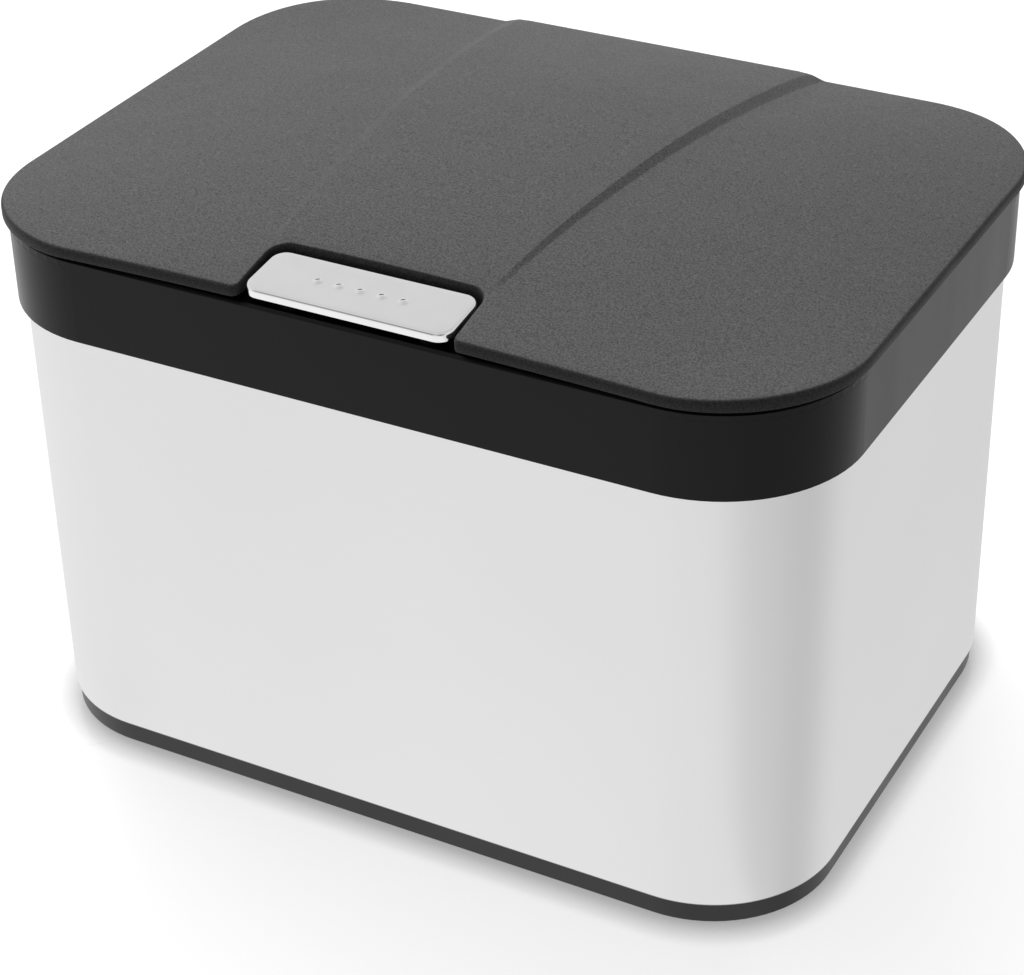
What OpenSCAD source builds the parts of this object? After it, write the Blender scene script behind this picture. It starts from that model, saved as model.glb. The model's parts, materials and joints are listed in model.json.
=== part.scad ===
// Push top countertop bin: a satin steel sleeve between a plastic base and a
// plastic collar, a crowned lid on a sprung rear hinge, a press button with a
// sliding latch at the front, and an inner bucket that hangs in the collar.
// Origin on the surface that the feet stand on, under the middle of the lid.
// X runs across the bin, the button faces -Y, Z is up.

/* [Lid] */
// Width of the lid, the widest piece
lid_w = 250; // [240:1:270]
// Depth of the lid, front to back
lid_d = 184.4; // [178:0.2:200]
// Corner radius of the lid, seen from above
lid_r = 40.5; // [36:0.5:44]
// Height of the lid's upright edge
lid_edge = 2.9; // [2.8:0.1:4]
// Rounding of the lid's upper edge
lid_round = 1.2; // [0.6:0.1:1.6]
// Rise of the lid's crown above its edge
lid_crown = 11; // [9:0.5:13]
// Wall of the lid shell
lid_wall = 2.2; // [1.8:0.1:2.4]
// Shadow gap between the lid and the collar
lid_gap = 0.8; // [0.4:0.1:1]
// Rise of the lid's front edge in its middle, over its ends
lid_arch = 1.4; // [0:0.1:2]
// Thickness of the liner under the lid
liner_t = 1.8; // [1.6:0.1:2]

/* [Raised band of the lid] */
// Half width of the band just behind the button
band_front = 31.2; // [28:0.2:33]
// Half width of the band at the back edge
band_back = 47.4; // [40:0.1:56]
// Height of the band's step at the back edge
band_step = 1.6; // [1:0.1:3]
// Run of the band's sloping side at the back edge
band_run = 4.4; // [2:0.1:6]

/* [Button] */
// Width of the button's chrome cap
button_w = 59.2; // [54:0.1:60]
// Depth of the cap, front to back
button_d = 18.4; // [17:0.1:19]
// Corner radius of the cap
button_r = 4.5; // [3:0.1:5]
// Wall of the cap
button_wall = 1.6; // [1.2:0.1:1.8]
// Gap between the cap and the lid's notch
button_gap = 1.7; // [1.2:0.1:2]
// Height of the cap's front face
button_face = 2.5; // [2.4:0.1:3.4]
// Slope of the cap's top, in degrees
button_tilt = 5.8; // [4:0.1:9]
// Travel of the button when it is pressed
button_travel = 2; // [1.6:0.1:2]

/* [Collar] */
// Height of the collar
collar_h = 24.6; // [24:0.1:30]
// Step in from the lid's outline to the collar
collar_in = 1.5; // [1.2:0.1:1.8]
// Wall of the collar
collar_wall = 2; // [1.8:0.1:2]
// Thickness of the collar's deck
deck_t = 2.4; // [2:0.1:2.6]
// Width of the deck at the sides and the back
deck_side = 13; // [13:0.5:16]
// Width of the deck at the front, over the latch
deck_front = 34; // [34:0.5:38]
// Depth that the collar reaches down over the steel
collar_grip = 5.6; // [4:0.1:8]
// Corner radius of the bucket's opening
open_r = 28; // [22:1:34]

/* [Steel sleeve] */
// Height of steel that shows between base and collar
sleeve_show = 128.9; // [100:0.1:180]
// Step in from the lid's outline to the steel
sleeve_in = 3.8; // [3.8:0.1:4.2]
// Thickness of the sheet
sleeve_t = 0.6; // [0.5:0.1:0.8]
// Width of the flange turned in at the bottom
sleeve_flange = 3.2; // [2.5:0.1:4]

/* [Base and feet] */
// Height of the base's rim that shows
base_rim = 5.7; // [5:0.1:9]
// Step in from the lid's outline to the base
base_in = 4.75; // [4.5:0.05:5.5]
// Thickness of the base's floor
base_floor = 2.5; // [2:0.1:3]
// Height of the feet below the base
foot_h = 0.8; // [0.6:0.1:1.6]
// Radius of a foot
foot_r = 7; // [5:0.5:9]

/* [Bucket] */
// Wall of the inner bucket
bucket_wall = 1.8; // [1.4:0.1:2.2]
// How far each side of the bucket draws in towards its floor
bucket_taper = 5; // [2:0.5:8]
// Gap between the bucket's floor and the base
bucket_lift = 3.5; // [2:0.5:8]
// Thickness of the bucket's rim
rim_t = 2; // [1.6:0.1:2.4]

/* [Hinge] */
// Radius of the hinge pins
pin_r = 1.5; // [1.3:0.1:1.6]
// Radius of the hinge knuckles
knuckle_r = 3; // [2.8:0.1:3.1]
// Length of a lid knuckle
knuckle_l = 8; // [6:0.5:10]
// Length of a torsion spring's space
coil_space = 13; // [11:0.5:15]
// Wire of the torsion springs
coil_wire = 0.8; // [0.6:0.1:0.9]

/* [Latch] */
// Width of the latch bolt
bolt_w = 22; // [20:0.5:24]
// Height of the latch bolt
bolt_h = 4.4; // [4.2:0.1:4.8]
// Wall of the latch housing
housing_wall = 1.4; // [1.2:0.1:1.6]
// Thickness of the strike's steel
strike_t = 1.6; // [1.2:0.1:1.8]
// Wire of the button springs
spring_wire = 0.8; // [0.6:0.1:0.9]

/* [Hidden] */
$fn = 64;

eps = 0.01;            // overshoot of a cut past the face that it opens
fit = 0.3;             // gap between pieces that only pass each other
slide_fit = 0.2;       // gap between sliding faces
run_fit = 0.05;        // radial clearance of a turning bore
press_fit = 0.02;      // radial clearance of a fixed pin or screw

// Levels, from the table upwards
z_base = foot_h;
z_sleeve = z_base + base_rim;
z_collar = z_sleeve + sleeve_show;
z_seat = z_collar + collar_grip;
z_deck = z_collar + collar_h;
z_deck_low = z_deck - deck_t;
z_lid = z_deck + lid_gap;
z_edge = z_lid + lid_edge;
z_liner = z_deck + 0.7;
z_liner_edge = z_edge - lid_wall - 0.1;
z_liner_top = z_liner + liner_t;
liner_step = 11;
z_ledge = z_deck_low - 2.1;
z_rim = z_ledge + rim_t;

// Lines across the bin, from front to back
y_front = -lid_d / 2;
y_back = lid_d / 2;
button_y0 = y_front + 0.3;
button_y1 = button_y0 + button_d;
button_y = (button_y0 + button_y1) / 2;
notch_w = button_w + 2 * button_gap;
notch_y = button_y1 + button_gap;
notch_r = 3.2;
mouth_r = 2;

// Inner lines of the collar and the bucket's opening
guide_in = sleeve_in + sleeve_t + 2.6;
guide_wall = 2;
open_w = lid_w - 2 * deck_side;
open_y0 = y_front + deck_front;
open_y1 = y_back - deck_side;
shelf = 4;
shelf_wall = 2;
shelf_t = 2.4;
deck_ease = 0.8;

// Hinge axis and the pieces along it, as distances from the middle
hinge_y = y_back - knuckle_r - 0.2;
hinge_z = z_deck - knuckle_r - 1;
ear_l = 4;
head_t = 1.2;
head_r = pin_r + 1.1;
ear_x = 18.2;
coil_x = ear_x + ear_l + 0.4;
knuckle_x = coil_x + coil_space + 0.4;
recess_x = knuckle_x + knuckle_l + fit;
boss_l = 10;
pin_end = recess_x + boss_l - 0.8;
recess_floor_t = 1.8;
recess_z = hinge_z - knuckle_r - 0.8;
recess_y = open_y1 + shelf + shelf_wall;

// Latch: the housing under the deck, the bolt, and the wedge that draws it
housing_w = 62;
housing_y0 = y_front + collar_in + collar_wall + fit;
housing_h = 14.6;
housing_z = z_deck_low - housing_h;
bolt_z = housing_z + 5.6;
bolt_top = bolt_z + bolt_h;
wedge_w = 11;
wedge_back = button_y0 + 14.9;
wedge_t = 4;
wedge_mid = bolt_z + bolt_h / 2;
window_gap = 0.45;
bolt_y0 = housing_y0 + housing_wall + button_travel + 0.3;
window_y1 = wedge_back + button_travel + fit;
bolt_wall = 2.2;
nose_w = 12;
nose_gap = 0.4;
nose_l = 2.3;
bolt_y1 = window_y1 + bolt_wall;
nose_y = bolt_y1 + nose_l;
foot_reach = 1.8;
strike_tip = nose_y + nose_gap;
strike_y0 = strike_tip + foot_reach;
strike_y1 = strike_y0 + strike_t;
strike_w = 10;
strike_boss = 2.6;
strike_z = z_liner_top + strike_boss;
strike_plate_t = 1.4;
strike_plate_y1 = strike_y1 + 9;
strike_screw_x = 6.5;
strike_screw_y = strike_y1 + 5.5;
slot_y0 = strike_tip - 0.6;
slot_y1 = strike_y1 + 1.3;
housing_y1 = slot_y1 + housing_wall;

// Button springs stand in wells of the housing, round the carrier's posts
well_x = 20;
well_r = 4.1;
well_wall = 1.3;
well_y = housing_y0 + well_r + well_wall;
well_floor = housing_z + 5;
post_r = 1.8;
plate_t = 1.6;
z_plate = z_deck + button_travel + fit;
z_cap = z_plate + 0.7;
z_plate_top = z_plate + plate_t;
spring_r = 3;
spring_turns = 8;

// Small springs behind the bolt
latch_spring_x = (bolt_w / 2 + wedge_w / 2 + 0.5) / 2;
latch_wire = 0.5;
latch_r = 1.2;
pocket_r = latch_r + latch_wire / 2 + 0.25;
pocket_y = bolt_y0 + 7;
latch_turns = 7;

// Screws
screw_r = 1.1;
screw_head_r = 2.5;
screw_head_t = 1.5;
hole_r = 1.5;
boss_r = 3.2;
lid_screw_at = [for (x = [-1, 1], y = [-1, 0, 1]) [x * (open_w / 2 - 20 - 6 * abs(y)), y * 46]];
lid_screw_l = 4.8;
drive_l = 2.8;
drive_w = 0.7;
drive_t = 0.9;
housing_tab = 8;
tab_t = 1.8;
tab_drop = 7.4;
housing_screw_x = housing_w / 2 + housing_tab / 2;
housing_screw_y = [housing_y1 - 4.5, housing_y1 - 12.5];

// Base
spigot_in = sleeve_in + sleeve_flange + fit;
spigot_h = 9;
spigot_wall = 2;
hook_l = 14;
hook_h = 2.4;
hook_reach = 0.9;
rib_t = 1.6;
foot_seat = 1.2;
foot_x = lid_w / 2 - 37;
foot_y = lid_d / 2 - 36;

// Counts of collar ribs along the front, the back and each side
rib_gap_x = 24;
rib_gap_y = 22;

module block(w, y0, y1, z0, z1)
    translate([-w / 2, y0, z0]) cube([w, y1 - y0, z1 - z0]);

// A copy on each side of the middle plane
module both() {
    children();
    mirror([1, 0, 0]) children();
}

// Rounded rectangle, centred across the bin, between two lines
module round_plan(w, y0, y1, r) {
    translate([-w / 2 + r, y0]) square([w - 2 * r, y1 - y0]);
    translate([-w / 2, y0 + r]) square([w, y1 - y0 - 2 * r]);
    for (x = [-1, 1], y = [y0 + r, y1 - r])
        translate([x * (w / 2 - r), y]) circle(r);
}

// The lid's outline, drawn in by a distance
module plan(inset)
    round_plan(lid_w - 2 * inset, y_front + inset, y_back - inset, lid_r - inset);

module wall_ring(outer, inner, z0, z1)
    translate([0, 0, z0]) linear_extrude(z1 - z0)
        difference() {
            plan(outer);
            plan(inner);
        }

// The bucket's opening, grown by a distance
module opening(grow)
    round_plan(open_w + 2 * grow, open_y0 - grow, open_y1 + grow, open_r + grow);

module open_ring(outer, inner, z0, z1)
    translate([0, 0, z0]) linear_extrude(z1 - z0)
        difference() {
            opening(outer);
            opening(inner);
        }

module rod(r, x0, x1)
    translate([x0, hinge_y, hinge_z]) rotate([0, 90, 0]) cylinder(h = x1 - x0, r = r);

module post(at, r, z0, z1)
    translate([at[0], at[1], z0]) cylinder(h = z1 - z0, r = r);

// Shape of the lid's top as a height over the plan: a crown that falls faster to
// the back, a front edge arched over the button, and a band that widens and rises
crown_front = 2.5;
crown_back = 2;
arch_fade = 4;
arch_half = lid_w / 2 - lid_r + 6;
band_toe = 1.4;
band_swell = 0.6;
function along_band(y) = min(1, max(0, (y - notch_y) / (y_back - notch_y)));
function band_top(y) = band_front + (band_back - band_front) * along_band(y);
function band_foot(y) = band_top(y) + band_toe + (band_run - band_toe) * along_band(y);
function crown(x, y) =
    lid_crown * (1 - pow(2 * x / lid_w, 2))
    * (1 - pow(abs(2 * y / lid_d), y < 0 ? crown_front : crown_back));
function arch(x, y) =
    lid_arch * max(0, 1 - pow(x / arch_half, 2)) * pow(max(0, -2 * y / lid_d), arch_fade);
function band_lift(x, y) =
    band_step * pow(along_band(y), band_swell)
    * min(1, max(0, (band_foot(y) - abs(x)) / (band_foot(y) - band_top(y))));
function half_width(y, inset) =
    let (r = lid_r - inset, past = max(0, abs(y) - (lid_d / 2 - lid_r)))
    lid_w / 2 - lid_r + sqrt(max(0, r * r - past * past));
function edge_gap(x, y) =
    let (px = abs(x) - (lid_w / 2 - lid_r), py = abs(y) - (lid_d / 2 - lid_r))
    px > 0 && py > 0 ? lid_r - norm([px, py]) : lid_r - max(px, py);
function rounding(gap) =
    gap >= lid_round ? 0 : sqrt(max(0, pow(lid_round, 2) - pow(lid_round - gap, 2))) - lid_round;
function lid_sheet(x, y) = z_edge + crown(x, y) + arch(x, y) + band_lift(x, y);
function lid_top(x, y) = lid_sheet(x, y) + rounding(edge_gap(x, y));
function lid_under(x, y) = lid_sheet(x, y) - lid_wall;

// Stations of the lid's surface: close together at the rounded edge and corners
edge_steps = [0, lid_round * 0.3, lid_round];
corner_steps = [for (a = [20:10:90]) lid_r * (1 - cos(a))];
middle_rows = 6;
flank_cols = 6;
crest_cols = 3;
function rows(inset) =
    let (
        half = lid_d / 2 - inset,
        ends = concat(edge_steps, [for (s = corner_steps) s * (lid_r - inset) / lid_r]),
        inner = half - ends[len(ends) - 1]
    )
    concat(
        [for (s = ends) s - half],
        [for (i = [1:middle_rows - 1]) inner * (2 * i / middle_rows - 1)],
        [for (i = [len(ends) - 1:-1:0]) half - ends[i]]
    );
function columns(y, inset) =
    let (
        edge = half_width(y, inset),
        flank = edge - lid_round,
        foot = band_foot(y),
        top = band_top(y),
        half = concat(
            [for (s = edge_steps) edge - s],
            [for (i = [1:flank_cols]) flank + (foot - flank) * i / flank_cols],
            [for (i = [0:crest_cols - 1]) top * (1 - i / crest_cols)]
        )
    )
    concat([for (x = half) -x], [0], [for (i = [len(half) - 1:-1:0]) half[i]]);

// Solid from a level up to the lid's top, or up to its underside when drawn in
module crown_solid(inset, z0) {
    ys = rows(inset);
    nx = len(columns(0, inset));
    ny = len(ys);
    top = [for (y = ys) for (x = columns(y, inset))
        [x, y, inset == 0 ? lid_top(x, y) : lid_under(x, y)]];
    rim = concat(
        [for (i = [0:nx - 1]) i],
        [for (j = [1:ny - 1]) j * nx + nx - 1],
        [for (i = [nx - 2:-1:0]) (ny - 1) * nx + i],
        [for (j = [ny - 2:-1:1]) j * nx]
    );
    n = len(rim);
    low = [for (k = rim) [top[k][0], top[k][1], z0 + arch(top[k][0], top[k][1])]];
    first = len(top);
    centre = first + n;
    polyhedron(
        points = concat(top, low, [[0, 0, z0]]),
        faces = concat(
            [for (j = [0:ny - 2], i = [0:nx - 2], half = [0, 1])
                let (a = j * nx + i)
                half == 0 ? [a, a + nx, a + nx + 1] : [a, a + nx + 1, a + 1]],
            [for (k = [0:n - 1], half = [0, 1])
                let (m = (k + 1) % n)
                half == 0 ? [rim[k], rim[m], first + k] : [rim[m], first + m, first + k]],
            [for (k = [0:n - 1]) [first + k, first + (k + 1) % n, centre]]
        )
    );
}

// Wire swept through stations, each a point and the two directions across it
module wire(stations, r) {
    sides = 6;
    n = len(stations);
    polyhedron(
        points = [for (s = stations) for (k = [0:sides - 1])
            s[0] + r * (cos(360 * k / sides) * s[1] + sin(360 * k / sides) * s[2])],
        faces = concat(
            [for (i = [0:n - 2], k = [0:sides - 1], half = [0, 1])
                let (a = i * sides + k, b = i * sides + (k + 1) % sides)
                half == 0 ? [a, b, b + sides] : [a, b + sides, a + sides]],
            [for (k = [1:sides - 2]) [0, k + 1, k]],
            [for (k = [1:sides - 2]) let (e = (n - 1) * sides) [e, e + k, e + k + 1]]
        )
    );
}

// Coil along +Z from z = 0, from a start angle, with a straight run at each end
function coil(r, height, turns, lead, tail, start = 0) =
    let (
        per_turn = 8,
        n = turns * per_turn,
        slope = atan(height / turns / (2 * PI * r)),
        at = [for (i = [0:n]) let (a = start + 360 * i / per_turn) [
            [r * cos(a), r * sin(a), height * i / n],
            [cos(a), sin(a), 0],
            [sin(a) * sin(slope), -cos(a) * sin(slope), cos(slope)],
            [-sin(a), cos(a), 0]
        ]]
    )
    concat(
        [[at[0][0] - lead * at[0][3], at[0][1], at[0][2]]],
        [for (s = at) [s[0], s[1], s[2]]],
        [[at[n][0] + tail * at[n][3], at[n][1], at[n][2]]]
    );

module base_plinth() {
    color("dimgray") difference() {
        union() {
            translate([0, 0, z_sleeve - base_floor]) linear_extrude(base_floor) plan(base_in);
            wall_ring(base_in, base_in + 2.5, z_base, z_sleeve);
            wall_ring(spigot_in, spigot_in + spigot_wall, z_sleeve - eps, z_sleeve + spigot_h);
            for (x = [-60, -20, 20, 60])
                translate([x - rib_t / 2, y_front + base_in + 1, z_base + 1])
                    cube([rib_t, lid_d - 2 * base_in - 2, base_rim - 1.5]);
            for (y = [-30, 30])
                block(lid_w - 2 * base_in - 2, y - rib_t / 2, y + rib_t / 2, z_base + 1, z_sleeve - 0.5);
            for (x = [-foot_x, foot_x], y = [-foot_y, foot_y])
                post([x, y], foot_r + 2.5, z_base, z_sleeve - eps);
            hooks();
        }
        for (x = [-foot_x, foot_x], y = [-foot_y, foot_y])
            post([x, y], foot_r + press_fit, z_base - eps, z_base + foot_seat);
    }
}

// Snap hooks of the base that hold the sleeve's turned-in flange
module hooks() {
    z0 = z_sleeve + sleeve_t + fit;
    for (side = [-1, 1], at = [-60, 0, 60])
        translate([at - hook_l / 2, side > 0 ? y_back - spigot_in - eps : y_front + spigot_in - hook_reach, z0])
            cube([hook_l, hook_reach + eps, hook_h]);
    for (side = [-1, 1], at = [-35, 35])
        translate([side > 0 ? lid_w / 2 - spigot_in - eps : spigot_in - lid_w / 2 - hook_reach,
            at - hook_l / 2, z0])
            cube([hook_reach + eps, hook_l, hook_h]);
}

module foot(x, y) {
    color("black") post([x, y], foot_r, 0, z_base + foot_seat);
}

module steel_sleeve() {
    color("gainsboro") {
        wall_ring(sleeve_in, sleeve_in + sleeve_t, z_sleeve, z_seat);
        wall_ring(sleeve_in, sleeve_in + sleeve_flange, z_sleeve, z_sleeve + sleeve_t);
    }
}

// Ribs between the collar's skirt and its guide wall, notched over the steel
module collar_ribs() {
    nx = floor((lid_w - 2 * lid_r) / 2 / rib_gap_x);
    ny = floor((lid_d - 2 * lid_r) / 2 / rib_gap_y);
    intersection() {
        difference() {
            wall_ring(collar_in + 1, guide_in + 1, z_collar - 2, z_deck_low + eps);
            wall_ring(collar_in, sleeve_in + sleeve_t + fit, z_collar - 3, z_seat);
        }
        union() {
            for (i = [-nx:nx])
                translate([i * rib_gap_x - rib_t / 2, y_front, 0]) cube([rib_t, lid_d, z_deck]);
            for (i = [-ny:ny])
                translate([-lid_w / 2, i * rib_gap_y - rib_t / 2, 0]) cube([lid_w, rib_t, z_deck]);
        }
    }
}

module collar() {
    color([0.1, 0.1, 0.1]) difference() {
        union() {
            wall_ring(collar_in, collar_in + collar_wall, z_collar, z_deck_low + eps);
            difference() {
                hull() {
                    translate([0, 0, z_deck_low]) linear_extrude(deck_t - deck_ease) plan(collar_in);
                    translate([0, 0, z_deck - eps]) linear_extrude(eps) plan(collar_in + deck_ease);
                }
                translate([0, 0, z_deck_low - 1]) linear_extrude(deck_t + 2) opening(shelf);
            }
            wall_ring(guide_in, guide_in + guide_wall, z_collar - 2, z_deck_low + eps);
            open_ring(shelf + shelf_wall, shelf, z_ledge - shelf_t, z_deck);
            open_ring(shelf + shelf_wall, 0, z_ledge - shelf_t, z_ledge);
            collar_ribs();
            block(2 * (recess_x + boss_l), recess_y - eps, y_back - collar_in,
                recess_z - recess_floor_t, z_deck);
            for (x = [-1, 1], y = housing_screw_y)
                post([x * housing_screw_x, y], boss_r, z_deck_low - tab_drop, z_deck_low + eps);
        }
        // Space for the latch housing inside the guide wall
        difference() {
            block(housing_w + 2 * housing_tab + 2, housing_y0 - fit / 2, housing_y1 + fit,
                z_collar - 3, z_deck_low);
            for (x = [-1, 1], y = housing_screw_y)
                post([x * housing_screw_x, y], boss_r, z_deck_low - tab_drop, z_deck_low + eps);
        }
        // Screw pilots, and the ways through the deck for wedge, posts and strike
        for (x = [-1, 1], y = housing_screw_y)
            post([x * housing_screw_x, y], screw_r + press_fit,
                z_deck_low - tab_drop - eps, z_deck_low - 0.4);
        block(wedge_w + 2, wedge_back - wedge_t - 5.5, wedge_back + 0.6, z_deck_low - 1, z_deck + eps);
        for (x = [-well_x, well_x])
            post([x, well_y], well_r, z_deck_low - 1, z_deck + eps);
        block(strike_w + 3, slot_y0, slot_y1, z_deck_low - 1, z_deck + eps);
        hinge_recess();
        // Eased rear edge that the lid swings over
        translate([0, y_back - collar_in, z_deck]) rotate([45, 0, 0])
            cube([lid_w, 1.7, 1.7], center = true);
    }
    color([0.1, 0.1, 0.1]) hold_down_ribs();
    color([0.1, 0.1, 0.1]) hinge_ears();
}

// Ribs under the deck that keep the bolt on its guides
module hold_down_ribs()
    both() translate([bolt_w / 2 - 3, bolt_y0 + 0.5, bolt_top + slide_fit])
        cube([1.6, bolt_y1 - bolt_y0 - 1, z_deck_low - bolt_top - slide_fit + eps]);

module hinge_recess() {
    block(2 * recess_x, recess_y, y_back, recess_z, z_deck + eps);
    both() rod(pin_r + press_fit, recess_x - eps, pin_end + fit);
}

module hinge_ears()
    both() difference() {
        union() {
            rod(knuckle_r, ear_x, ear_x + ear_l);
            translate([ear_x, hinge_y - knuckle_r, recess_z - eps])
                cube([ear_l, y_back - collar_in - hinge_y + knuckle_r, hinge_z - recess_z]);
        }
        rod(pin_r + press_fit, ear_x - eps, ear_x + ear_l + eps);
    }

module inner_bucket() {
    z0 = z_sleeve + bucket_lift;
    color([0.16, 0.16, 0.16]) difference() {
        union() {
            hull() {
                translate([0, 0, z0]) linear_extrude(eps) opening(-fit * 2 - bucket_taper, $fn = 40);
                translate([0, 0, z_ledge]) linear_extrude(eps) opening(-fit * 2, $fn = 40);
            }
            translate([0, 0, z_ledge]) linear_extrude(rim_t) opening(shelf - fit);
        }
        hull() {
            translate([0, 0, z0 + bucket_wall])
                linear_extrude(eps) opening(-fit * 2 - bucket_taper - bucket_wall, $fn = 40);
            translate([0, 0, z_rim + 1])
                linear_extrude(eps) opening(-fit * 2 - bucket_wall, $fn = 40);
        }
    }
}

module latch_housing() {
    inner_w = housing_w - 2 * housing_wall;
    color([0.2, 0.2, 0.2]) difference() {
        union() {
            difference() {
                block(housing_w, housing_y0, housing_y1, housing_z, z_deck_low);
                block(inner_w, housing_y0 + housing_wall, housing_y1 - housing_wall,
                    housing_z + housing_wall, z_deck_low + eps);
            }
            // Wells of the button springs
            for (x = [-well_x, well_x])
                post([x, well_y], well_r + well_wall, housing_z, z_deck_low);
            // Guides under and beside the bolt
            both() translate([wedge_w / 2 + 0.8, bolt_y0 - button_travel, housing_z])
                cube([bolt_w / 2 - wedge_w / 2 + 0.8, bolt_y1 - bolt_y0 + button_travel,
                    bolt_z - slide_fit - housing_z]);
            both() translate([bolt_w / 2 + slide_fit, bolt_y0 - button_travel, housing_z])
                cube([housing_wall, bolt_y1 - bolt_y0 + button_travel, bolt_top - housing_z]);
            // Screw tabs
            both() translate([housing_w / 2 - eps, housing_screw_y[1] - boss_r,
                z_deck_low - tab_drop - tab_t])
                cube([housing_tab, housing_screw_y[0] - housing_screw_y[1] + 2 * boss_r, tab_t]);
        }
        for (x = [-well_x, well_x])
            post([x, well_y], well_r, well_floor, z_deck_low + eps);
        for (x = [-1, 1], y = housing_screw_y)
            post([x * housing_screw_x, y], hole_r,
                z_deck_low - tab_drop - tab_t - eps, z_deck_low - tab_drop + eps);
    }
}

module screw(l) {
    cylinder(h = l, r = screw_r);
    translate([0, 0, -screw_head_t]) difference() {
        cylinder(h = screw_head_t, r = screw_head_r);
        translate([0, 0, -eps]) for (a = [0, 90]) rotate([0, 0, a])
            translate([-drive_l / 2, -drive_w / 2, 0]) cube([drive_l, drive_w, drive_t]);
    }
}

module latch_screws()
    color("silver") for (x = [-1, 1], y = housing_screw_y)
        translate([x * housing_screw_x, y, z_deck_low - tab_drop - tab_t])
            screw(tab_t + tab_drop - 1.2);

module hinge_pin() {
    color("silver") {
        rod(pin_r, ear_x - head_t + eps, pin_end);
        rod(head_r, ear_x - head_t, ear_x);
    }
}

// Torsion spring round the pin: one leg under the liner, one on the recess's floor
module torsion_spring() {
    r = pin_r + 0.55 + coil_wire / 2;
    length = coil_space - coil_wire - 0.6;
    color("silver") translate([coil_x + coil_wire / 2 + 0.3, hinge_y, hinge_z])
        rotate([90, 0, 90])
            wire(coil(r, length, 8, z_liner - hinge_z - 0.1, hinge_z - recess_z - 0.1, 180),
                coil_wire / 2);
}

module lid_cover() {
    color([0.4, 0.4, 0.4]) difference() {
        crown_solid(0, z_lid);
        difference() {
            crown_solid(lid_wall, z_lid - 1);
            translate([0, 0, z_lid - 2]) linear_extrude(lid_crown + lid_edge + 6)
                notch_plan(lid_wall);
            for (at = lid_screw_at)
                post(at, boss_r, z_liner_top, z_edge + lid_crown + 4);
        }
        translate([0, 0, z_lid - 2]) linear_extrude(lid_crown + lid_edge + 6) notch_plan(0);
        for (at = lid_screw_at)
            post(at, screw_r + press_fit, z_liner_top - 1, z_liner + lid_screw_l + 0.6);
    }
}

// Notch for the button, open at the lid's front edge with eased ends
module notch_plan(grow) {
    round_plan(notch_w + 2 * grow, y_front - 12, notch_y + grow, notch_r + grow);
    if (grow == 0)
        difference() {
            translate([-notch_w / 2 - mouth_r, y_front - 1]) square([notch_w + 2 * mouth_r, mouth_r + 1]);
            for (x = [-1, 1])
                translate([x * (notch_w / 2 + mouth_r), y_front + mouth_r]) circle(mouth_r);
        }
}

module lid_liner() {
    color([0.25, 0.25, 0.25]) difference() {
        union() {
            difference() {
                union() {
                    translate([0, 0, z_liner]) linear_extrude(z_liner_edge - z_liner)
                        plan(lid_wall + 0.5);
                    translate([0, 0, z_liner]) linear_extrude(liner_t) plan(liner_step);
                    both() translate([knuckle_x, hinge_y - knuckle_r - 6, z_liner])
                        cube([knuckle_l, knuckle_r + 6.6, liner_t]);
                }
                translate([0, 0, z_liner - 1]) linear_extrude(liner_t + 2) notch_plan(lid_wall + fit);
            }
            for (x = [-strike_screw_x, strike_screw_x])
                post([x, strike_screw_y], boss_r - 0.4, z_liner_top - eps, strike_z);
            both() {
                rod(knuckle_r, knuckle_x, knuckle_x + knuckle_l);
                translate([knuckle_x, hinge_y - knuckle_r, hinge_z])
                    cube([knuckle_l, knuckle_r + 0.6, z_liner + eps - hinge_z]);
            }
        }
        both() rod(pin_r + run_fit, knuckle_x - eps, knuckle_x + knuckle_l + eps);
        block(strike_w + 1, strike_y0 - 0.4, strike_y1 + 0.4, z_liner - 1, z_liner_top + 1);
        block(strike_w + 1, strike_tip - 0.4, strike_y1, z_liner - 1, z_liner_top + 1);
        for (x = [-strike_screw_x, strike_screw_x])
            post([x, strike_screw_y], screw_r + press_fit, z_liner + 0.4, strike_z + eps);
        for (at = lid_screw_at)
            post(at, hole_r, z_liner - eps, z_liner_top + eps);
    }
}

module lid_seal() {
    color("gray") open_ring(shelf - 1.4, -0.4, z_rim + fit, z_liner);
}

module lid_screws()
    color("silver") for (at = lid_screw_at)
        translate([at[0], at[1], z_liner]) screw(lid_screw_l);

// Strike: a plate on the liner's bosses, a leg through the deck, a hooked foot
module lid_strike() {
    z_foot = bolt_z - 2.6;
    color("silver") difference() {
        union() {
            block(2 * strike_screw_x + 6, strike_y0, strike_plate_y1, strike_z, strike_z + strike_plate_t);
            block(strike_w, strike_y0, strike_y1, z_foot, strike_z + eps);
            translate([-strike_w / 2, 0, 0]) rotate([90, 0, 90]) linear_extrude(strike_w)
                polygon([
                    [strike_y0 + eps, bolt_z - 0.4], [strike_tip, bolt_z - 0.4],
                    [strike_tip, bolt_z - 1.2], [strike_y0 + eps, z_foot]
                ]);
        }
        for (x = [-strike_screw_x, strike_screw_x])
            post([x, strike_screw_y], hole_r, strike_z - eps, strike_z + strike_plate_t + eps);
    }
}

module strike_screws()
    color("silver") for (x = [-strike_screw_x, strike_screw_x])
        translate([x, strike_screw_y, strike_z + strike_plate_t]) mirror([0, 0, 1])
            screw(strike_plate_t + strike_boss + 0.8);

// Space under the cap's sloping top, lowered by a depth
module under_slope(depth)
    translate([0, button_y0, z_cap + button_face - depth]) rotate([button_tilt, 0, 0])
        translate([-lid_w / 2, -20, -30]) cube([lid_w, 60, 30]);

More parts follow.
